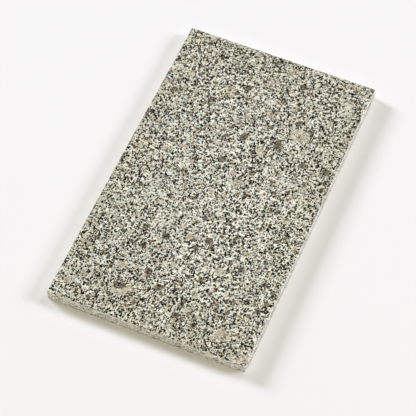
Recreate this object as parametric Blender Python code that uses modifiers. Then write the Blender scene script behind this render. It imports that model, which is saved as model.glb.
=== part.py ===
"""Granite slab: the flat, heavy stone on which leather is stamped, punched and pounded.

The slab is one piece of granite, sawn to size and polished on its working face. It lies flat
on the bench by its own weight, so it has no feet, frame or fastening. Its edges are eased:
a sharp stone edge chips, so each one is rounded off with a hand pad.

Units are metres and +Z is up. The origin is the middle of the underside, and the long side
runs along Y.
"""

import bpy

# Driving dimensions.
LENGTH = 0.254            # long side, along Y
WIDTH = 0.150             # short side, along X
THICKNESS = 0.010         # underside to working face, along Z
WORK_EDGE_EASE = 0.0009   # rounding of the four edges round the working face
BASE_EDGE_EASE = 0.0005   # rounding of the four edges round the underside
CORNER_EASE = 0.0012      # rounding of the four upright corner edges
EASE_STEPS = 3            # flat strips that make up each rounding

# Finish of the stone, seen from far enough away for its grains to blend.
GRANITE_COLOUR = (0.32, 0.31, 0.25, 1.0)
GRANITE_ROUGHNESS = 0.35
GRANITE_METALLIC = 0.0

COLLECTION_NAME = "granite slab"
SLAB_NAME = "granite_slab"


def clear_scene():
    """Remove whatever objects the scene starts with."""
    for leftover in list(bpy.data.objects):
        bpy.data.objects.remove(leftover, do_unlink=True)


def make_collection(name):
    """Add a collection to the scene for the object's parts."""
    collection = bpy.data.collections.new(name)
    bpy.context.scene.collection.children.link(collection)
    return collection


def move_to_collection(part, collection):
    """Take a part out of the collections it is in and put it in the given one."""
    for holder in list(part.users_collection):
        holder.objects.unlink(part)
    collection.objects.link(part)


def make_granite():
    """The stone's plain material: mid grey with a green-brown cast, satin to the light."""
    material = bpy.data.materials.new("granite")
    material.use_nodes = True
    material.diffuse_color = GRANITE_COLOUR
    shader = material.node_tree.nodes["Principled BSDF"]
    shader.inputs["Base Color"].default_value = GRANITE_COLOUR
    shader.inputs["Roughness"].default_value = GRANITE_ROUGHNESS
    shader.inputs["Metallic"].default_value = GRANITE_METALLIC
    return material


def ease_of_edge(start, end):
    """How far the given edge of the sawn block is rounded, from where its two ends are."""
    mid_height = THICKNESS / 2
    start_is_high = start.z > mid_height
    end_is_high = end.z > mid_height
    if start_is_high != end_is_high:
        return CORNER_EASE
    if start_is_high:
        return WORK_EDGE_EASE
    return BASE_EDGE_EASE


def ease_edges(slab):
    """Round every edge of the block, each by its own amount, with one Bevel modifier.

    The modifier's width is the widest rounding, and each edge's bevel weight is its share of it.
    """
    widest = max(WORK_EDGE_EASE, BASE_EDGE_EASE, CORNER_EASE)
    mesh = slab.data
    weights = mesh.attributes.new("bevel_weight_edge", "FLOAT", "EDGE")
    for edge in mesh.edges:
        start, end = (mesh.vertices[index].co for index in edge.vertices)
        weights.data[edge.index].value = ease_of_edge(start, end) / widest

    bevel = slab.modifiers.new("eased edges", "BEVEL")
    bevel.limit_method = "WEIGHT"
    bevel.offset_type = "OFFSET"
    bevel.width = widest
    bevel.segments = EASE_STEPS
    bevel.use_clamp_overlap = False


def make_slab():
    """The slab: a sawn block standing on the origin, with its edges eased."""
    bpy.ops.mesh.primitive_cube_add(
        size=1.0,
        location=(0.0, 0.0, THICKNESS / 2),
        scale=(WIDTH, LENGTH, THICKNESS),
    )
    slab = bpy.context.active_object
    bpy.ops.object.transform_apply(location=True, rotation=False, scale=True)
    slab.name = SLAB_NAME
    slab.data.name = SLAB_NAME
    slab.data.materials.append(make_granite())
    ease_edges(slab)
    return slab


def main():
    clear_scene()
    parts = make_collection(COLLECTION_NAME)
    move_to_collection(make_slab(), parts)


main()
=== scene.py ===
# %% [markdown]
# # A granite slab for leatherwork
#
# The object is one thin block of polished granite. Leather is laid on it to be stamped, punched and
# pounded, because stone gives a dead-flat surface that doesn't bounce. This lesson takes the plain
# measured block, called the frame below, and builds the stone that a maker would see: eased edges with
# small chips, a sawn underside, and the crystals of the granite itself.

# %% Load the frame
import math

import bpy
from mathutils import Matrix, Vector


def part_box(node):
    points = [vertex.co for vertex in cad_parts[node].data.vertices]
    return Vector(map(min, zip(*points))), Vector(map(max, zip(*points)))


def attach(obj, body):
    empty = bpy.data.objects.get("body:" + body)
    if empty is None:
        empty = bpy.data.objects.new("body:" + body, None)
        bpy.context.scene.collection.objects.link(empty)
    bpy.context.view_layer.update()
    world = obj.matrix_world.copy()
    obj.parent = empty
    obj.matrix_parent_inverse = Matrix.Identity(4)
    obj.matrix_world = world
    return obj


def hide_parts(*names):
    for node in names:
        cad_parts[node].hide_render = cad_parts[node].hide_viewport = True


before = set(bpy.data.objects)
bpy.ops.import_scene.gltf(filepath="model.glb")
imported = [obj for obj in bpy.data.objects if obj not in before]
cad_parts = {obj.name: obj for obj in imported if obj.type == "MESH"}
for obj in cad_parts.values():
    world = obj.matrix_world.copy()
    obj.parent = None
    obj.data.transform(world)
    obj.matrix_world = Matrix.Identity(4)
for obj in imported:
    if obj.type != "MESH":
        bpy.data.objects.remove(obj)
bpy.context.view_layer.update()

SLAB_NODE = "granite_slab"
slab_low, slab_high = (Vector(corner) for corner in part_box(SLAB_NODE))
slab_size = slab_high - slab_low
slab_top = slab_high.z
print("slab, mm:", [round(side * 1000, 1) for side in slab_size])

# %% [markdown]
# ## The camera
#
# The slab lies with a corner towards us and is seen from well above, with a long lens, so its sides
# stay almost parallel. A camera is easiest to place the way a photographer thinks of it: what it looks
# at, how far round it has walked, how high it looks down from, and how far away it stands. The azimuth
# is counted from the slab's near short side, and it grows as the camera walks to the right.


# %% Place the camera
def direction(azimuth, elevation):
    """A unit vector from the slab towards a place round it, from two angles in degrees."""
    turn, tilt = math.radians(azimuth), math.radians(elevation)
    return Vector((math.sin(turn) * math.cos(tilt), -math.cos(turn) * math.cos(tilt), math.sin(tilt)))


def aim(thing, target, towards, distance):
    """Put a camera or a light at a distance from its target and point it back at the target."""
    thing.location = target + towards * distance
    thing.rotation_euler = towards.to_track_quat("Z", "Y").to_euler()


CAMERA_AZIMUTH = 23.22      # degrees
CAMERA_ELEVATION = 57.35    # degrees
CAMERA_DISTANCE = 1.2474    # metres
CAMERA_LENS = 150.8         # millimetres
SENSOR_WIDTH = 36.0         # millimetres
CAMERA_SIGHT = Vector((0.0012, -0.0195, slab_top))   # the spot on the working face that it looks at

camera = bpy.data.objects.new("camera", bpy.data.cameras.new("camera"))
bpy.context.scene.collection.objects.link(camera)
camera.data.lens = CAMERA_LENS
camera.data.sensor_width = SENSOR_WIDTH
aim(camera, CAMERA_SIGHT, direction(CAMERA_AZIMUTH, CAMERA_ELEVATION), CAMERA_DISTANCE)
bpy.context.scene.camera = camera
print("camera at", [round(value, 3) for value in camera.location])

# %% [markdown]
# ## Floor, lights and surroundings
#
# The stone lies on a plain pale table top. A flat matt plane is enough, because it only has to catch the
# shadows. It ends a few metres beyond the slab, so that a low view meets the pale room behind it and not
# an unlit stretch of floor.

# %% Lay the floor
FLOOR_SIZE = 5.0
FLOOR_COLOUR = (0.80, 0.80, 0.80, 1.0)
FLOOR_ROUGHNESS = 0.9


def plain_material(name, colour, roughness):
    """A matt Principled material in one colour."""
    material = bpy.data.materials.new(name)
    material.use_nodes = True
    shader = material.node_tree.nodes["Principled BSDF"]
    shader.inputs["Base Color"].default_value = colour
    shader.inputs["Roughness"].default_value = roughness
    shader.inputs["Specular IOR Level"].default_value = 0.0
    return material


bpy.ops.mesh.primitive_plane_add(size=FLOOR_SIZE, location=(0.0, 0.0, slab_low.z))
floor = bpy.context.active_object
floor.name = "table_top"
floor.data.materials.append(plain_material("pale_table", FLOOR_COLOUR, FLOOR_ROUGHNESS))
print("table top:", FLOOR_SIZE, "m square at height", round(slab_low.z, 4))

# %% [markdown]
# Four soft boxes light the stone, all at the same distance. A warm one hangs high behind the camera. One
# to the left and one to the right are a little cooler, and low, so that they light the thin sides and lay
# soft shadows beside the slab. The weakest one stands at the back and helps to draw the shadow in front.

# %% Hang the lights
LIGHT_DISTANCE = 4.0

# name: azimuth, elevation (degrees), width (metres), power (watts), colour
SOFT_BOXES = {
    "key": (15, 58, 0.9, 67, (1.0, 0.93, 0.68)),
    "left": (255, 26, 1.1, 147, (0.87, 0.88, 1.0)),
    "right": (112, 30, 1.2, 95, (0.86, 0.86, 1.0)),
    "back": (153, 48, 1.1, 30, (0.98, 0.99, 1.0)),
}

for name, (azimuth, elevation, width, power, colour) in SOFT_BOXES.items():
    light = bpy.data.objects.new(name, bpy.data.lights.new(name, "AREA"))
    light.data.shape = "SQUARE"
    light.data.size = width
    light.data.energy = power
    light.data.color = colour
    bpy.context.scene.collection.objects.link(light)
    aim(light, Vector((0.0, 0.0, slab_top)), direction(azimuth, elevation), LIGHT_DISTANCE)
print("lights:", len(SOFT_BOXES), "soft boxes,", LIGHT_DISTANCE, "m away")

# %% [markdown]
# Polish mirrors whatever is overhead, so the surroundings matter as much as the lamps. The room is pale at
# eye level and dark above, which lets the black grains stay black. A colour ramp over the height of the
# sky is the simplest room that does this.

# %% Paint the room
ROOM_HORIZON = (0.90, 0.90, 0.89, 1.0)      # pale walls, seen at and below eye level
ROOM_ZENITH = (0.012, 0.012, 0.013, 1.0)    # dark ceiling
ROOM_FADE = (0.05, 0.45)                    # the sines of the heights between which pale turns dark

world = bpy.data.worlds.new("room")
world.use_nodes = True
bpy.context.scene.world = world
room = world.node_tree
compass = room.nodes.new("ShaderNodeTexCoord")
axes = room.nodes.new("ShaderNodeSeparateXYZ")
walls = room.nodes.new("ShaderNodeValToRGB")
walls.color_ramp.interpolation = "EASE"
walls.color_ramp.elements[0].position = ROOM_FADE[0]
walls.color_ramp.elements[0].color = ROOM_HORIZON
walls.color_ramp.elements[1].position = ROOM_FADE[1]
walls.color_ramp.elements[1].color = ROOM_ZENITH
room.links.new(compass.outputs["Generated"], axes.inputs["Vector"])
room.links.new(axes.outputs["Z"], walls.inputs["Fac"])
room.links.new(walls.outputs["Color"], room.nodes["Background"].inputs["Color"])
bpy.context.scene.view_settings.view_transform = "Standard"
print("room: brightness", ROOM_HORIZON[1], "at eye level and", ROOM_ZENITH[1], "overhead")

# %% [markdown]
# ## The body of the stone
#
# A slab could be a cube with a Bevel modifier, but a stone edge is not a smooth bevel. Its shape follows
# a rule, which suits Geometry Nodes: draw the cross-section of the edge once, carry it round the rim,
# and close the two faces. The cross-section starts on the working face, rolls over the eased edge,
# runs down the sawn side, rolls under, and ends on the underside.
#
# Everything below is made of nodes, so a few small helpers come first. Each adds one node, or one common
# step, and gives back the socket that the next step needs.


# %% Helpers for node trees
def add_node(tree, kind, settings=None, **inputs):
    """Add a node, change its settings, and set or link its inputs.

    An input is given by its name, with underscores for spaces, or by its number after an i.
    """
    node = tree.nodes.new(kind)
    for setting, value in (settings or {}).items():
        setattr(node, setting, value)
    for name, value in inputs.items():
        by_number = name[0] == "i" and name[1:].isdigit()
        socket = node.inputs[int(name[1:])] if by_number else node.inputs[name.replace("_", " ")]
        if isinstance(value, bpy.types.NodeSocket):
            tree.links.new(value, socket)
        else:
            socket.default_value = value
    return node


def maths(tree, operation, first, second=0.0):
    """One arithmetic step on two numbers or sockets."""
    return add_node(tree, "ShaderNodeMath", {"operation": operation}, i0=first, i1=second).outputs[0]


def vector_maths(tree, operation, first, second, out="Vector"):
    """One step on two vectors or sockets."""
    node = add_node(tree, "ShaderNodeVectorMath", {"operation": operation}, i0=first, i1=second)
    return node.outputs[out]


def scaled(tree, vector, factor):
    """A vector made longer or shorter."""
    node = add_node(tree, "ShaderNodeVectorMath", {"operation": "SCALE"}, i0=vector, Scale=factor)
    return node.outputs["Vector"]


def fade(tree, value, start, end, low=0.0, high=1.0):
    """Go smoothly from low to high while a value goes from start to end, and hold either side."""
    node = add_node(
        tree, "ShaderNodeMapRange", {"interpolation_type": "SMOOTHSTEP"},
        i0=value, i1=start, i2=end, i3=low, i4=high,
    )
    return node.outputs["Result"]


print("node helpers ready")

# %% [markdown]
# The tree's inputs are the sizes that a mason would name. The three outer sizes come from the frame, and
# the rest are what a saw, an abrasive stone and years of use leave behind. The seed picks where the chips
# fall, and is fixed so that every build gives the same stone.

# %% Sizes that the tree takes
MM = 0.001
SEED = 7
slab_inputs = {
    "Width": slab_size.x,
    "Length": slab_size.y,
    "Thickness": slab_size.z,
    "Work Edge": 0.9 * MM,      # rounding round the working face
    "Base Edge": 0.5 * MM,      # rounding round the underside
    "Corner": 1.2 * MM,         # rounding of the upright corners
    "Border": 1.15 * MM,        # how far the modelled edge reaches in over each face
    "Rim Step": 0.55 * MM,      # mesh spacing along the rim
    "Section Step": 0.30 * MM,  # mesh spacing down the side
    "Chip Depth": 0.60 * MM,    # deepest bite out of an edge
    "Chip Width": 2.2 * MM,     # spacing of the bites
    "Ragged": 0.30 * MM,        # grain-by-grain unevenness of an edge
    "Sawn": 0.04 * MM,          # unevenness of the sawn sides
    "Seed": SEED,
}

tree = bpy.data.node_groups.new("stone slab", "GeometryNodeTree")
tree.is_modifier = True
tree.interface.new_socket("Geometry", in_out="OUTPUT", socket_type="NodeSocketGeometry")
for name, value in slab_inputs.items():
    tree.interface.new_socket(name, in_out="INPUT", socket_type="NodeSocketFloat").default_value = value
tree.interface.new_socket("Stone", in_out="INPUT", socket_type="NodeSocketMaterial")
given = tree.nodes.new("NodeGroupInput").outputs
print("tree inputs:", [socket.name for socket in given if socket.name])

# %% [markdown]
# The rim is a rectangle with filleted corners. The cross-section is a bent line of four points. Its X
# is measured outwards from the rim and its Y downwards, because that is how Curve to Mesh lays a
# section along a level path. Fillet Curve rounds its two bends, each with a radius of its own. The
# section's own coordinates are captured before the sweep, so that every point of the finished edge
# still knows how far it is from each sharp corner of the sawn block.


# %% Draw the rim and the cross-section
def by_index(tree, data_type, values):
    """A field that gives each point its own value from a list, by the point's number."""
    index = add_node(tree, "GeometryNodeInputIndex").outputs[0]
    switch = add_node(tree, "GeometryNodeIndexSwitch", {"data_type": data_type}, Index=index)
    while len(switch.index_switch_items) < len(values):
        switch.index_switch_items.new()
    for number, value in enumerate(values):
        socket = switch.inputs[number + 1]
        if isinstance(value, bpy.types.NodeSocket):
            tree.links.new(value, socket)
        else:
            socket.default_value = value
    return switch.outputs[0]


def fillet(tree, curve, radius):
    """Round the bends of a curve."""
    return add_node(
        tree, "GeometryNodeFilletCurve", {"mode": "POLY"}, Curve=curve, Count=BEND_POINTS, Radius=radius
    ).outputs[0]


def resample(tree, curve, step):
    """Space the points of a curve evenly."""
    return add_node(
        tree, "GeometryNodeResampleCurve", {"mode": "LENGTH"}, Curve=curve, Length=step
    ).outputs[0]


BEND_POINTS = 6   # straight pieces in each rounded bend
block = add_node(
    tree, "GeometryNodeCurvePrimitiveQuadrilateral", Width=given["Width"], Height=given["Length"]
)
rim = resample(tree, fillet(tree, block.outputs[0], given["Corner"]), given["Rim Step"])

inward = maths(tree, "MULTIPLY", given["Border"], -1.0)
work_level = maths(tree, "MULTIPLY", given["Thickness"], -1.0)
work_corner = add_node(tree, "ShaderNodeCombineXYZ", X=0.0, Y=work_level).outputs[0]
base_corner = add_node(tree, "ShaderNodeCombineXYZ", X=0.0, Y=0.0).outputs[0]
bends = [
    add_node(tree, "ShaderNodeCombineXYZ", X=inward, Y=work_level).outputs[0],
    work_corner,
    base_corner,
    add_node(tree, "ShaderNodeCombineXYZ", X=inward, Y=0.0).outputs[0],
]
points = add_node(tree, "GeometryNodeMeshLine", Count=len(bends)).outputs[0]
bent_line = add_node(tree, "GeometryNodeMeshToCurve", Mesh=points).outputs[0]
bent_line = add_node(
    tree, "GeometryNodeSetPosition", Geometry=bent_line, Position=by_index(tree, "VECTOR", bends)
).outputs[0]
radii = by_index(tree, "FLOAT", [0.0, given["Work Edge"], given["Base Edge"], 0.0])
section = resample(tree, fillet(tree, bent_line, radii), given["Section Step"])

remember = add_node(tree, "GeometryNodeCaptureAttribute", Geometry=section)
remember.capture_items.new("VECTOR", "section place")
tree.links.new(add_node(tree, "GeometryNodeInputPosition").outputs[0], remember.inputs["section place"])
section = remember.outputs["Geometry"]
section_place = remember.outputs["section place"]
print("cross-section bends:", len(bends), "with", slab_inputs["Work Edge"] / MM, "mm rounding at the top")

# %% [markdown]
# Sweeping the cross-section round the rim gives the whole worn edge in one piece, from one face round to
# the other. The two faces are added later, because the wear must not touch them.

# %% Sweep the edge
edge_band = add_node(tree, "GeometryNodeCurveToMesh", Curve=rim, Profile_Curve=section).outputs[0]
edge_band = add_node(tree, "GeometryNodeSetShadeSmooth", Geometry=edge_band).outputs[0]
print("nodes so far:", len(tree.nodes))

# %% [markdown]
# Granite breaks from grain to grain. A hand-eased edge is therefore slightly ragged along its whole
# length, and here and there a small bite has come out of it. Voronoi cells make the bites: some of the
# cells are chosen at random, and each of those is scooped out towards its middle. All of it fades out
# before it reaches the two faces, which stay perfectly flat, as polishing leaves them.

# %% Chip the edges
CHIP_FULL = 0.35     # shares of the border: up to here chips are deepest,
CHIP_END = 0.92      # and past here there are none
CHIP_CHANCE = 0.40   # share of the cells that are bitten out
CHIP_SCOOP = (0.12, 0.50)         # in cells, where a bite's flat floor ends and where the bite ends
RAGGED_SIZE = 0.9 * MM
SEED_SHIFT = (0.31, 0.17, 0.23)   # metres that one step of the seed moves the pattern
SIDE_START = 0.1     # share of the border, next to the side, over which the saw's unevenness starts


def closeness(corner):
    """1 on a sharp corner of the sawn block, and 0 where the modelled edge meets a face."""
    distance = vector_maths(tree, "DISTANCE", section_place, corner, out="Value")
    near = maths(tree, "MULTIPLY", given["Border"], CHIP_FULL)
    far = maths(tree, "MULTIPLY", given["Border"], CHIP_END)
    return fade(tree, distance, near, far, low=1.0, high=0.0)


position = add_node(tree, "GeometryNodeInputPosition").outputs[0]
shifted = vector_maths(tree, "ADD", position, scaled(tree, SEED_SHIFT, given["Seed"]))
cells_per_metre = maths(tree, "DIVIDE", 1.0, given["Chip Width"])
bites = add_node(tree, "ShaderNodeTexVoronoi", Vector=shifted, Scale=cells_per_metre).outputs
chance = add_node(tree, "ShaderNodeSeparateXYZ", Vector=bites["Color"]).outputs
is_bite = maths(tree, "LESS_THAN", chance[0], CHIP_CHANCE)
scoop = fade(tree, bites["Distance"], *CHIP_SCOOP, low=1.0, high=0.0)
bite = maths(tree, "MULTIPLY", maths(tree, "MULTIPLY", is_bite, scoop), chance[1])
uneven = add_node(tree, "ShaderNodeTexNoise", Vector=shifted, Scale=1 / RAGGED_SIZE, Detail=2.0).outputs[0]

near_edge = maths(tree, "MAXIMUM", closeness(work_corner), closeness(base_corner))
bite_depth = maths(tree, "MULTIPLY", bite, given["Chip Depth"])
ragged_depth = maths(tree, "MULTIPLY", uneven, given["Ragged"])
edge_depth = maths(tree, "MULTIPLY", near_edge, maths(tree, "ADD", bite_depth, ragged_depth))

section_axes = add_node(tree, "ShaderNodeSeparateXYZ", Vector=section_place).outputs
on_side = fade(tree, section_axes[0], maths(tree, "MULTIPLY", inward, SIDE_START), 0.0)
side_depth = maths(tree, "MULTIPLY", maths(tree, "MULTIPLY", on_side, uneven), given["Sawn"])
depth = maths(tree, "ADD", edge_depth, side_depth)
print("share of the edge cells that are bitten:", CHIP_CHANCE)

# %% [markdown]
# One bottom corner has been set down hard once. The knock pushes that corner in and up, is deepest at the
# corner itself, and fades out round it. All the wear is then applied in one step. Before that, each point
# notes how deep its bite is, so that the material can pale it later.

# %% Knock a corner and apply the wear
KNOCK_REACH = 8.0 * MM
KNOCK_PUSH = (-0.7 * MM, 0.7 * MM, 1.5 * MM)
BRUISE = "bruise"   # the mesh attribute that holds the note
knock_place = (slab_high.x, slab_low.y, slab_low.z)
knock_distance = vector_maths(tree, "DISTANCE", position, knock_place, out="Value")
off_faces = maths(tree, "MAXIMUM", on_side, near_edge)
knock = maths(tree, "MULTIPLY", fade(tree, knock_distance, KNOCK_REACH, 0.0), off_faces)

marked = add_node(
    tree, "GeometryNodeStoreNamedAttribute", {"data_type": "FLOAT", "domain": "POINT"},
    Geometry=edge_band, Name=BRUISE, i3=maths(tree, "MULTIPLY", near_edge, bite),
).outputs[0]
normal = add_node(tree, "GeometryNodeInputNormal").outputs[0]
bitten = scaled(tree, normal, maths(tree, "MULTIPLY", depth, -1.0))
wear = vector_maths(tree, "ADD", bitten, scaled(tree, KNOCK_PUSH, knock))
worn_edge = add_node(tree, "GeometryNodeSetPosition", Geometry=marked, Offset=wear).outputs[0]
print("knocked corner, mm:", [round(value / MM, 1) for value in knock_place])

# %% [markdown]
# The same rim, drawn in by the border, is filled once for the working face and once, turned over, for the
# underside. The worn edge still meets both of them exactly, so welding leaves one closed skin with two
# dead-flat faces.

# %% Close the two faces
WELD = 0.001 * MM
rim_normal = add_node(tree, "GeometryNodeInputNormal").outputs[0]
face_rim = add_node(
    tree, "GeometryNodeSetPosition", Geometry=rim, Offset=scaled(tree, rim_normal, inward)
).outputs[0]
face = add_node(tree, "GeometryNodeFillCurve", {"mode": "NGONS"}, Curve=face_rim).outputs[0]
face = add_node(tree, "GeometryNodeSetShadeSmooth", Geometry=face, Shade_Smooth=False).outputs[0]
lift = add_node(tree, "ShaderNodeCombineXYZ", Z=given["Thickness"]).outputs[0]
working_face = add_node(tree, "GeometryNodeTransform", Geometry=face, Translation=lift).outputs[0]
underside = add_node(tree, "GeometryNodeFlipFaces", Mesh=face).outputs[0]

join = add_node(tree, "GeometryNodeJoinGeometry")
for shell in (worn_edge, working_face, underside):
    tree.links.new(shell, join.inputs[0])
closed = add_node(tree, "GeometryNodeMergeByDistance", Geometry=join.outputs[0], Distance=WELD).outputs[0]
print("shells welded at", WELD / MM, "mm")

# %% [markdown]
# The tree ends by giving the stone its material. A modifier on an empty object then runs it once, with
# the sizes listed above, and the result is kept as a plain mesh.

# %% End the tree
real = add_node(tree, "GeometryNodeRealizeInstances", Geometry=closed).outputs[0]
stone_body = add_node(tree, "GeometryNodeSetMaterial", Geometry=real, Material=given["Stone"]).outputs[0]
tree.links.new(stone_body, tree.nodes.new("NodeGroupOutput").inputs[0])


def plain_mesh(tree, name, values):
    """Run a Geometry Nodes tree with the given inputs, and return its result as a plain mesh."""
    holder = bpy.data.objects.new(name, bpy.data.meshes.new(name))
    bpy.context.scene.collection.objects.link(holder)
    modifier = holder.modifiers.new(tree.name, "NODES")
    modifier.node_group = tree
    for socket in tree.interface.items_tree:
        if socket.in_out == "INPUT" and socket.name in values:
            modifier[socket.identifier] = values[socket.name]
    result = holder.evaluated_get(bpy.context.evaluated_depsgraph_get())
    mesh = bpy.data.meshes.new_from_object(result)
    mesh.name = name
    bpy.data.objects.remove(holder)
    return mesh


print("nodes in the slab's tree:", len(tree.nodes))

# %% [markdown]
# ## The granite
#
# The pattern is built in the stone's own millimetres and goes right through it, so that a grain seen
# on the face carries on down the side. Pale feldspar and glassy grey quartz form the ground, as irregular
# grains that lock together. Black mica lies between them as small flakes, here thick and there thin.
# Scattered through it all are larger tan feldspar crystals and smoky brown grains. Voronoi cells, with
# their outlines bent by noise, are the natural tool for grains: each cell has random numbers of its
# own, and one of them picks its mineral.

# %% Start the stone's material
stone = bpy.data.materials.new("granite")
stone.use_nodes = True
rock = stone.node_tree
surface = rock.nodes["Principled BSDF"]

stone_place = add_node(rock, "ShaderNodeTexCoord")
millimetres = add_node(
    rock, "ShaderNodeMapping", Vector=stone_place.outputs["Object"], Scale=(1 / MM, 1 / MM, 1 / MM)
).outputs[0]
print("the stone's pattern is measured in millimetres from the slab's middle")

# %% [markdown]
# The pattern has its own small vocabulary: noise, cells, bent outlines, straight facets, ramps and blends.
# With these, each mineral below takes only a few lines.


# %% Helpers for patterns in stone
STRIDE = (17.3, 9.1, 23.7)   # millimetres from one pattern's part of the stone to the next


def noise(where, size, detail=2.0, out="Fac"):
    """Cloudy noise whose blobs are about so many millimetres wide."""
    node = add_node(rock, "ShaderNodeTexNoise", Vector=where, Scale=1 / size, Detail=detail)
    return node.outputs[out]


def moved(where, steps):
    """The same places seen from elsewhere in the stone, so that two patterns don't coincide."""
    return vector_maths(rock, "ADD", where, tuple(part * steps for part in STRIDE))


def bent(where, size, amount):
    """Push places about by noise, so that outlines drawn there turn irregular."""
    push = vector_maths(rock, "SUBTRACT", noise(where, size, out="Color"), (0.5, 0.5, 0.5))
    return vector_maths(rock, "ADD", where, scaled(rock, push, amount))


def cells(where, size):
    """Grains about so many millimetres wide: a random vector for each, and the distance to its middle."""
    node = add_node(rock, "ShaderNodeTexVoronoi", Vector=where, Scale=1 / size)
    return node.outputs["Color"], node.outputs["Distance"]


def faceted(where, size):
    """Gather places to the middles of small cells, so that outlines drawn there get straight facets."""
    return add_node(rock, "ShaderNodeTexVoronoi", Vector=where, Scale=1 / size).outputs["Position"]


def numbers(vector):
    """The three numbers that make up a vector or a colour."""
    return add_node(rock, "ShaderNodeSeparateXYZ", Vector=vector).outputs


def ramp(value, stops, interpolation="CONSTANT"):
    """Turn a number into a colour. Stops are (position, (red, green, blue))."""
    node = add_node(rock, "ShaderNodeValToRGB", Fac=value)
    node.color_ramp.interpolation = interpolation
    elements = node.color_ramp.elements
    while len(elements) < len(stops):
        elements.new(1.0)
    for element, (position, colour) in zip(elements, stops):
        element.position = position
        element.color = (*colour, 1.0)
    return node.outputs["Color"]


def blend(amount, under, over, kind="MIX"):
    """Lay one colour over another by an amount. Colours are sockets or (red, green, blue)."""
    under, over = ((*c, 1.0) if isinstance(c, tuple) else c for c in (under, over))
    settings = {"data_type": "RGBA", "blend_type": kind}
    return add_node(rock, "ShaderNodeMix", settings, i0=amount, i6=under, i7=over).outputs[2]


def times(*factors):
    """The product of numbers or sockets."""
    product = factors[0]
    for factor in factors[1:]:
        product = maths(rock, "MULTIPLY", product, factor)
    return product


print("pattern helpers ready")

# %% [markdown]
# ### Ground of feldspar and quartz
#
# Two sets of cells, one a little coarser than the other, are laid over each other in part. Where they
# agree a grain looks clear, and where they don't it looks cloudy, as if another grain lay just below the
# polish.

# %% Lay the ground
GROUND_GRAIN = 1.0
DEEPER_GRAIN = 1.5
DEEPER_SHARE = 0.30
GROUND_MINERALS = [
    (0.00, (0.21, 0.205, 0.165)),   # smoky quartz
    (0.09, (0.40, 0.40, 0.33)),     # grey quartz
    (0.24, (0.575, 0.58, 0.475)),   # green-grey feldspar
    (0.48, (0.70, 0.70, 0.585)),    # pale feldspar
    (0.73, (0.82, 0.81, 0.695)),    # cream feldspar
    (0.87, (0.97, 0.965, 0.89)),    # white feldspar
]
BROAD_BEND = (0.9, 0.5)     # size of the noise that bends every outline, and how far it pushes
FINE_BEND = (0.28, 0.16)
wavy = bent(bent(millimetres, *BROAD_BEND), *FINE_BEND)
grain_vector = cells(wavy, GROUND_GRAIN)[0]
grain_pick, grain_tint = numbers(grain_vector)[:2]
deeper_pick = numbers(cells(moved(wavy, 1), DEEPER_GRAIN)[0])[0]
ground = blend(DEEPER_SHARE, ramp(grain_pick, GROUND_MINERALS), ramp(deeper_pick, GROUND_MINERALS))
print("minerals in the ground:", len(GROUND_MINERALS))

# %% [markdown]
# No grain is one flat colour. A fine mottling stands for the cloudiness of feldspar, and faint parallel
# lines for its cleavage. The lines run a different way in each grain, because the grain's own random
# vector sets their direction.

# %% Cloud it
NOISE_REACH = (0.3, 0.7)   # noise seldom leaves this range, so a fade over it uses all of its ends
MOTTLE = 0.16
MOTTLE_SIZE = 0.35
CLEAVAGE = 0.05
CLEAVAGE_LINES = 14.0
mottle = fade(rock, noise(wavy, MOTTLE_SIZE, detail=3.0), *NOISE_REACH, 1 - MOTTLE, 1 + MOTTLE)
lie = scaled(rock, vector_maths(rock, "SUBTRACT", grain_vector, (0.5, 0.5, 0.5)), CLEAVAGE_LINES)
lines = maths(rock, "SINE", vector_maths(rock, "DOT_PRODUCT", millimetres, lie, out="Value"))
cleavage = maths(rock, "ADD", times(lines, CLEAVAGE), 1.0)
print("mottling and cleavage change a grain by", MOTTLE, "and", CLEAVAGE)

# %% [markdown]
# ### Hues of the ground
#
# Neighbouring grains differ only a little in hue. Patches a few millimetres wide differ more: some are
# stained towards olive and rust, where iron has crept along the seams, and others lean towards a cool
# grey. One slow noise drives both, so that a patch is never stained and cool at once.

# %% Tint it
GRAIN_TINTS = [
    (0.0, (1.00, 1.00, 0.98)),
    (0.3, (0.99, 1.00, 1.00)),
    (0.7, (1.01, 1.00, 0.98)),
    (0.9, (0.99, 1.00, 1.02)),
]
STAIN_SIZE = 5.0
COOL_TINT = (0.91, 0.98, 1.045)
COOL_STRENGTH = 1.0
STAIN_COLOUR = (0.47, 0.41, 0.275)
STAIN_STRENGTH = 0.95
COOL_FADE = (0.50, 0.30)    # the noise from which a patch turns cool, and where it is coolest
STAIN_FADE = (0.50, 0.70)
stains = noise(millimetres, STAIN_SIZE, detail=3.0)
ground = blend(1.0, ground, ramp(grain_tint, GRAIN_TINTS), "MULTIPLY")
ground = blend(fade(rock, stains, *COOL_FADE, 0.0, COOL_STRENGTH), ground, COOL_TINT, "MULTIPLY")
ground = blend(fade(rock, stains, *STAIN_FADE, 0.0, STAIN_STRENGTH), ground, STAIN_COLOUR)
print("stained patches about", STAIN_SIZE, "mm wide")

# %% [markdown]
# Hands hold the stone by its border, which leaves the border a little darker and browner than the middle.
# The share of the way from the middle to the rim says how much. The tone drifts in broad patches too, as
# it does in every slab.

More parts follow.
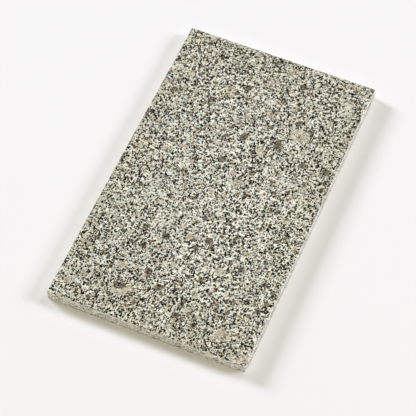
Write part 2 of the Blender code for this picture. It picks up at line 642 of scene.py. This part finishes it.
# %% Handle it
HANDLED_COLOUR = (0.86, 0.845, 0.785)
DRIFT_SIZE = 28.0
DRIFT = 0.05
DRIFT_REACH = (0.35, 0.65)
HANDLED_FROM = 0.50       # share of the way to the rim where it starts
HANDLED_STRENGTH = 0.7
across, along, height = numbers(millimetres)
across = times(maths(rock, "ABSOLUTE", across), 2 * MM / slab_size.x)
along = times(maths(rock, "ABSOLUTE", along), 2 * MM / slab_size.y)
towards_rim = maths(rock, "MAXIMUM", across, along)
handled = fade(rock, towards_rim, HANDLED_FROM, 1.0, 0.0, HANDLED_STRENGTH)
ground = blend(handled, ground, HANDLED_COLOUR, "MULTIPLY")
drift = fade(rock, noise(millimetres, DRIFT_SIZE, detail=1.0), *DRIFT_REACH, 1 - DRIFT, 1 + DRIFT)
print("handled border: from", HANDLED_FROM, "of the way to the rim")

# %% [markdown]
# ### Large crystals
#
# A few crystals are many times larger than the rest and catch the eye, so the ones that stand out are
# listed one by one, in whole millimetres from the middle of the working face. Each entry is a place, a
# length, a width and a turn. One Mapping node per crystal turns and shrinks space so that the crystal
# becomes a unit ball, and the smallest distance to any ball says whether a spot lies in a crystal.


# %% Set the large crystals
face_height = slab_top / MM


def nearest(crystals, where):
    """How far a spot is from the nearest listed crystal, where 1 is that crystal's own outline."""
    distance = None
    for x, y, length, width, turn in crystals:
        half_length, half_width = length / 2, width / 2
        half_depth = (half_length + half_width) / 2
        ball = add_node(
            rock, "ShaderNodeMapping", {"vector_type": "TEXTURE"}, Vector=where,
            Location=(x, y, face_height), Rotation=(0.0, 0.0, math.radians(turn)),
            Scale=(half_length, half_width, half_depth),
        ).outputs[0]
        reach = vector_maths(rock, "LENGTH", ball, (0.0, 0.0, 0.0), out="Value")
        distance = reach if distance is None else maths(rock, "MINIMUM", distance, reach)
    return distance


CRYSTAL_FACET = 0.7
# x, y, length, width in millimetres, turn in degrees
TAN_CRYSTALS = [
    (-24, -105, 13, 7, 40),
    (38, 65, 13, 12, 20),
    (-23, 82, 8, 8, 0),
    (12, 8, 9, 6, 70),
    (51, -111, 12, 9, 10),
    (30, -65, 8, 7, 0),
    (-36, -86, 9, 6, 30),
    (17, 41, 11, 6, 110),
    (58, 24, 6, 6, 0),
    (-17, 35, 7, 5, 0),
    (11, 74, 6, 5, 0),
    (72, -122, 8, 7, 0),
    (1, 101, 7, 5, 0),
    (-4, 66, 5, 5, 0),
]
BROWN_CRYSTALS = [
    (1, 48, 8, 6, 80),
    (27, 51, 8, 6, 110),
    (34, 75, 7, 5, 30),
    (-6, 23, 7, 6, 30),
    (19, 21, 6, 5, 60),
    (-29, -102, 6, 5, 20),
    (13, -45, 7, 6, 0),
    (-17, -84, 6, 5, 90),
    (6, -53, 5, 5, 0),
    (-5, -94, 5, 5, 0),
    (50, 41, 6, 5, 45),
    (68, 43, 7, 5, 0),
    (25, 107, 6, 5, 0),
    (20, -77, 5, 4, 60),
    (-34, 70, 6, 5, 60),
    (-13, 91, 6, 5, 0),
    (45, 71, 5, 4, 20),
    (15, -109, 6, 5, 0),
    (-17, -53, 5, 5, 0),
    (-33, -51, 6, 5, 30),
    (-28, -67, 5, 4, 0),
]
CRYSTAL_BEND = (2.2, 1.2)   # millimetres: size of the noise, and how far it pushes
swirl = bent(faceted(wavy, CRYSTAL_FACET), *CRYSTAL_BEND)
print("crystals placed one by one:", len(TAN_CRYSTALS), "tan and", len(BROWN_CRYSTALS), "brown")

# %% [markdown]
# The smaller crystals are too many to list. They come from sparse cells: only some of the cells hold a
# crystal, and it is smaller than its cell, so that it stands alone. Tan and brown crystals then take
# colours of their own, and each still shows the small grains that it is made of.


# %% Fill in the small ones
FAR_AWAY = 10.0   # past any outline


def sparse(where, spacing, chance, size):
    """How far a spot is from the nearest of some sparse random crystals, where 1 is the outline."""
    vector, reach = cells(where, spacing)
    missing = maths(rock, "GREATER_THAN", numbers(vector)[0], chance)
    return maths(rock, "ADD", times(reach, 2 * spacing / size), times(missing, FAR_AWAY))


SMALL_TAN = (8.0, 0.22, 4.5)     # spacing, share of the places that hold one, size
SMALL_BROWN = (4.5, 0.30, 3.2)
small_tan = sparse(moved(swirl, 2), *SMALL_TAN)
small_brown = sparse(moved(swirl, 3), *SMALL_BROWN)
tan_reach = maths(rock, "MINIMUM", nearest(TAN_CRYSTALS, swirl), small_tan)
brown_reach = maths(rock, "MINIMUM", nearest(BROWN_CRYSTALS, swirl), small_brown)
TAN_BORDER = (0.80, 1.10)     # where a crystal starts to fade out and where it ends, 1 being its outline
BROWN_BORDER = (0.90, 1.05)
in_tan = fade(rock, tan_reach, *TAN_BORDER, 1.0, 0.0)
in_brown = fade(rock, brown_reach, *BROWN_BORDER, 1.0, 0.0)

TAN_COLOURS = [
    (0.0, (0.25, 0.21, 0.14)),
    (0.16, (0.39, 0.345, 0.245)),
    (0.45, (0.51, 0.463, 0.35)),
    (0.80, (0.63, 0.59, 0.475)),
]
BROWN_COLOURS = [
    (0.0, (0.042, 0.034, 0.021)),
    (0.35, (0.118, 0.091, 0.050)),
    (0.70, (0.225, 0.180, 0.104)),
]
TAN_STRENGTH = 0.9
BROWN_STRENGTH = 0.9
ground = blend(times(in_tan, TAN_STRENGTH), ground, ramp(grain_pick, TAN_COLOURS))
ground = blend(times(in_brown, BROWN_STRENGTH), ground, ramp(grain_pick, BROWN_COLOURS))
print("small crystals on a", SMALL_TAN[0], "mm and a", SMALL_BROWN[0], "mm spacing")

# %% [markdown]
# ### Black mica
#
# Mica doesn't lie evenly in granite. A slow noise raises and lowers the number of its flakes, so that they
# gather in clusters and short chains. Few lie inside the large crystals, which pushed the mica aside as
# they grew.

# %% Crowd the mica
CLUSTER_SIZE = 4.5
PATCH_SIZE = 26.0
CLUSTER_REACH = (0.36, 0.66)
CLUSTER_CROWD = (0.82, 1.18)   # how few and how many flakes, next to the usual number
PATCH_CROWD = (0.90, 1.10)
cluster = fade(rock, noise(millimetres, CLUSTER_SIZE, detail=1.0), *CLUSTER_REACH, *CLUSTER_CROWD)
patch = fade(rock, noise(millimetres, PATCH_SIZE, detail=1.0), *NOISE_REACH, *PATCH_CROWD)
KEPT_OUT_OF_TAN = 0.9
KEPT_OUT_OF_BROWN = 0.5
kept_out = maths(
    rock, "MAXIMUM", times(in_tan, KEPT_OUT_OF_TAN), times(in_brown, KEPT_OUT_OF_BROWN)
)
crowd = times(cluster, patch, maths(rock, "SUBTRACT", 1.0, kept_out))
print("mica gathers in clusters about", CLUSTER_SIZE, "mm wide")

# %% [markdown]
# Each flake is a blob round the middle of its own cell, and its outline is cut into short straight facets.
# Three sizes of flake are laid one over the other. The feldspar that touches a flake is often its clearest
# and whitest, which gives each flake a thin pale rim.


# %% Scatter the mica
def flake_field(where, spacing, share, smallest, largest):
    """How far a spot lies outside its flake, in millimetres, and a random number for that flake."""
    vector, reach = cells(where, spacing)
    pick, size, tint = numbers(vector)
    missing = maths(rock, "GREATER_THAN", pick, times(crowd, share))
    radius = maths(rock, "ADD", times(size, largest - smallest), smallest)
    outside = maths(rock, "SUBTRACT", times(reach, spacing), radius)
    return maths(rock, "ADD", outside, times(missing, FAR_AWAY)), tint


MICA_COLOURS = [
    (0.0, (0.010, 0.009, 0.006)),
    (0.46, (0.008, 0.011, 0.028)),
    (0.68, (0.038, 0.032, 0.018)),
    (0.86, (0.085, 0.075, 0.047)),
]
# spacing, share of the places that hold a flake, least and greatest radius, stretch along x, y and z
MICA_FLAKES = [
    (1.41, 0.60, 0.53, 0.86, (1.0, 0.70, 0.9)),
    (1.07, 0.50, 0.42, 0.64, (0.70, 1.0, 1.1)),
    (0.70, 0.20, 0.25, 0.39, (1.0, 1.0, 1.0)),
]
MICA_FACET = 0.34
PALE_RIM = 0.45
RIM_GAIN = 0.30
flaky = faceted(wavy, MICA_FACET)
pale_rim = 0.0
mica = 0.0
flakes = []
for step, (spacing, share, smallest, largest, stretch) in enumerate(MICA_FLAKES, start=4):
    where = vector_maths(rock, "MULTIPLY", moved(flaky, step), stretch)
    outside, tint = flake_field(where, spacing, share, smallest, largest)
    in_flake = maths(rock, "LESS_THAN", outside, 0.0)
    flakes.append((in_flake, tint))
    pale_rim = maths(rock, "MAXIMUM", pale_rim, fade(rock, outside, 0.0, PALE_RIM, 1.0, 0.0))
    mica = maths(rock, "MAXIMUM", mica, in_flake)

shade = times(mottle, cleavage, drift, maths(rock, "ADD", times(pale_rim, RIM_GAIN), 1.0))
shade_colour = add_node(rock, "ShaderNodeCombineXYZ", X=shade, Y=shade, Z=shade).outputs[0]
colour = blend(1.0, ground, shade_colour, "MULTIPLY")
for in_flake, tint in flakes:
    colour = blend(in_flake, colour, ramp(tint, MICA_COLOURS))
print("sizes of mica flake:", len(MICA_FLAKES))

# %% [markdown]
# ## Three finishes on one stone
#
# The working face is polished, so its colours are deep. The sides are ground but not polished, and the
# underside is as the saw left it. The way the surface faces tells which finish it has. The sharp edge
# between face and side is bruised by knocks, and so is every chip. The pale haze along the whole sharp
# edge is partly that wear and partly a painted highlight.

# %% Tell the finishes apart
# How far a spot faces up: 1 looks up, 0 sideways, and -1 down. Each pair is where a finish starts and
# where it is complete.
POLISHED_FACING = (0.20, 0.60)
SAWN_FACING = (-0.90, -0.99)
ARRIS_BELOW_FACE = (0.75, 0.45)
ARRIS_ABOVE_SIDE = (0.05, 0.25)
facing = numbers(stone_place.outputs["Normal"])[2]
polished = fade(rock, facing, *POLISHED_FACING)
sawn = fade(rock, facing, *SAWN_FACING)
# The sharp edge, which later takes a pale haze that is partly wear and partly a painted highlight.
arris = times(fade(rock, facing, *ARRIS_BELOW_FACE), fade(rock, facing, *ARRIS_ABOVE_SIDE))
bruise = add_node(rock, "ShaderNodeAttribute", {"attribute_name": BRUISE}).outputs["Fac"]
print("finishes: polished above, ground at the sides, sawn below")

# %% [markdown]
# Grinding leaves fine scratches that run level round the stone: noise stretched along the side draws them.
# The saw's round blade leaves shallow arcs underneath: noise over the distance from the middle of the
# blade draws those.

# %% Draw the tool marks
GRINDING_LINES = (0.22, 0.22, 1.3)   # the noise is stretched along the side
along_side = vector_maths(rock, "MULTIPLY", millimetres, GRINDING_LINES)
streaks = noise(along_side, 1.0, detail=3.0)

BLADE_CENTRE = (-260.0, 90.0, 0.0)   # millimetres from the middle of the slab
GROOVE_WIDTH = 1.6
flat_place = vector_maths(rock, "MULTIPLY", millimetres, (1.0, 1.0, 0.0))
from_blade = vector_maths(rock, "DISTANCE", flat_place, BLADE_CENTRE, out="Value")
grooves = noise(add_node(rock, "ShaderNodeCombineXYZ", X=from_blade).outputs[0], GROOVE_WIDTH)
print("blade arcs about", GROOVE_WIDTH, "mm apart")

# %% [markdown]
# Where the stone isn't polished, a pale haze lies over its colours, because the rough surface scatters the
# light. It follows the scratches on the sides and the arcs underneath, and is strongest on a bruise. Along
# the sharp edge it is partly wear and partly a painted highlight.

# %% Add haze
HAZE_COLOUR = (0.94, 0.92, 0.85)
SIDE_HAZE = (0.0, 0.74)     # between scratches, and on them
SAWN_HAZE = (0.20, 0.70)
# The haze on the sharp edge is partly wear and partly a painted highlight along it.
ARRIS_HAZE_AND_HIGHLIGHT = (0.25, 1.0)    # where the sharp edge is whole, and where it is knocked
KNOCK_SIZE = 1.3            # millimetres
BRUISE_HAZE = 1.1
MOST_HAZE = 0.9
STREAK_REACH = (0.42, 0.58)   # a narrow range of the noise makes crisp streaks
KNOCK_SPOTS = (0.40, 0.60)
side_haze = fade(rock, streaks, *STREAK_REACH, *SIDE_HAZE)
sawn_haze = fade(rock, grooves, *NOISE_REACH, *SAWN_HAZE)
haze = add_node(rock, "ShaderNodeMix", i0=sawn, i2=side_haze, i3=sawn_haze).outputs[0]
haze = times(haze, maths(rock, "SUBTRACT", 1.0, polished))
# Pale spots along the sharp edge: partly knocks, partly a painted highlight.
knocked = fade(rock, noise(millimetres, KNOCK_SIZE), *KNOCK_SPOTS, *ARRIS_HAZE_AND_HIGHLIGHT)
haze = maths(rock, "MAXIMUM", haze, times(arris, knocked))
haze = maths(rock, "MAXIMUM", haze, times(bruise, BRUISE_HAZE))
colour = blend(maths(rock, "MINIMUM", haze, MOST_HAZE), colour, HAZE_COLOUR)
print("haze on a scratch:", SIDE_HAZE[1], "and on a bruise:", MOST_HAZE)

# %% [markdown]
# A side is darker towards its foot, and most of all in the last two millimetres, which is painted contact
# shade where the stone sits on the table. Height and facing together say where that is, and level streaks
# break it up.

# %% Paint shade at the foot
# The colour of the darkening: painted contact shade at the foot, and a plain darkening higher up the side.
FOOT_SHADE_COLOUR = (0.50, 0.45, 0.35)
SHADE_STREAKS = (0.15, 1.0)     # how much of the painted shade is left between the streaks and on them
LOWER_SIDE = (7.0, 0.5, 0.0, 0.22)   # from this height to this one in mm, from this strength to this one
FOOT = (2.6, 0.8, 0.0, 1.0)
OFF_THE_FACE = (0.80, 0.30)
OFF_THE_UNDERSIDE = (-0.98, -0.70)
# The side darkens towards the bottom.
lower_side = times(fade(rock, height, *LOWER_SIDE), fade(rock, facing, *OFF_THE_FACE))
shade_streaks = fade(rock, noise(moved(along_side, 2), 1.0), *STREAK_REACH, *SHADE_STREAKS)
# Painted contact shade along the foot of the side, broken up by level streaks.
foot = times(fade(rock, height, *FOOT), fade(rock, facing, *OFF_THE_UNDERSIDE), shade_streaks)
colour = blend(maths(rock, "MAXIMUM", lower_side, foot), colour, FOOT_SHADE_COLOUR, "MULTIPLY")
rock.links.new(colour, surface.inputs["Base Color"])
# The darkening reported here is painted shade at the foot and a plain darkening higher up.
print("darkening starts", LOWER_SIDE[0], "mm up the side")

# %% [markdown]
# Polish gives the working face its shine. It isn't a mirror: mica polishes a little worse than feldspar,
# and work has dulled it in patches. The ground sides scatter much more, and the sawn underside is matt.

# %% Gloss
POLISHED_ROUGHNESS = 0.13
MICA_ROUGHNESS = 0.05    # what a flake adds to it
DULLED_ROUGHNESS = 0.06  # what years of work add to it, in patches
DULLED_PATCH = 30.0      # millimetres
DULLED_REACH = (0.40, 0.65)
SIDE_ROUGHNESS = 0.62
SAWN_ROUGHNESS = 0.85
STONE_IOR = 1.54
dulled = fade(rock, noise(millimetres, DULLED_PATCH), *DULLED_REACH, 0.0, DULLED_ROUGHNESS)
roughness = maths(rock, "ADD", times(mica, MICA_ROUGHNESS), dulled)
roughness = maths(rock, "ADD", roughness, POLISHED_ROUGHNESS)
roughness = add_node(rock, "ShaderNodeMix", i0=polished, i2=SIDE_ROUGHNESS, i3=roughness).outputs[0]
roughness = add_node(rock, "ShaderNodeMix", i0=sawn, i2=roughness, i3=SAWN_ROUGHNESS).outputs[0]
rock.links.new(roughness, surface.inputs["Roughness"])
surface.inputs["IOR"].default_value = STONE_IOR
print("roughness: face", POLISHED_ROUGHNESS, "side", SIDE_ROUGHNESS, "underside", SAWN_ROUGHNESS)

# %% [markdown]
# The marks are relief as well as colour, but far too fine to model: they go into a Bump node, with all
# heights in millimetres. The polished face keeps only a ripple too shallow to feel.

# %% Relief
POLISH_RIPPLE = 0.004
STREAK_RELIEF = 0.06
GROOVE_RELIEF = 0.14
GRAIN_RELIEF = 0.06
ROUGH_GRAIN = 0.6
rough_grain = noise(millimetres, ROUGH_GRAIN)
face_relief = times(rough_grain, POLISH_RIPPLE)
side_relief = maths(rock, "ADD", times(streaks, STREAK_RELIEF), times(rough_grain, GRAIN_RELIEF))
sawn_relief = maths(rock, "ADD", times(grooves, GROOVE_RELIEF), times(rough_grain, GRAIN_RELIEF))
relief = add_node(rock, "ShaderNodeMix", i0=sawn, i2=side_relief, i3=sawn_relief).outputs[0]
relief = add_node(rock, "ShaderNodeMix", i0=polished, i2=relief, i3=face_relief).outputs[0]
bump = add_node(rock, "ShaderNodeBump", Height=relief, Distance=MM).outputs[0]
rock.links.new(bump, surface.inputs["Normal"])
print("nodes in the granite:", len(rock.nodes))

# %% [markdown]
# ## The finished slab
#
# With the tree and the stone ready, the slab itself is one call. It stays at the origin, unturned, because
# the frame's sizes are already its own.

# %% Make the slab
slab_mesh = plain_mesh(tree, "polished_slab", {**slab_inputs, "Stone": stone})
slab = bpy.data.objects.new("polished_slab", slab_mesh)
bpy.context.scene.collection.objects.link(slab)
print("slab mesh:", len(slab.data.vertices), "points,", len(slab.data.polygons), "faces")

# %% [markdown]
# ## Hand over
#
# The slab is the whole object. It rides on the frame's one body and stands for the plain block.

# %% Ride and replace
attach(slab, "root")
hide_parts(SLAB_NODE)
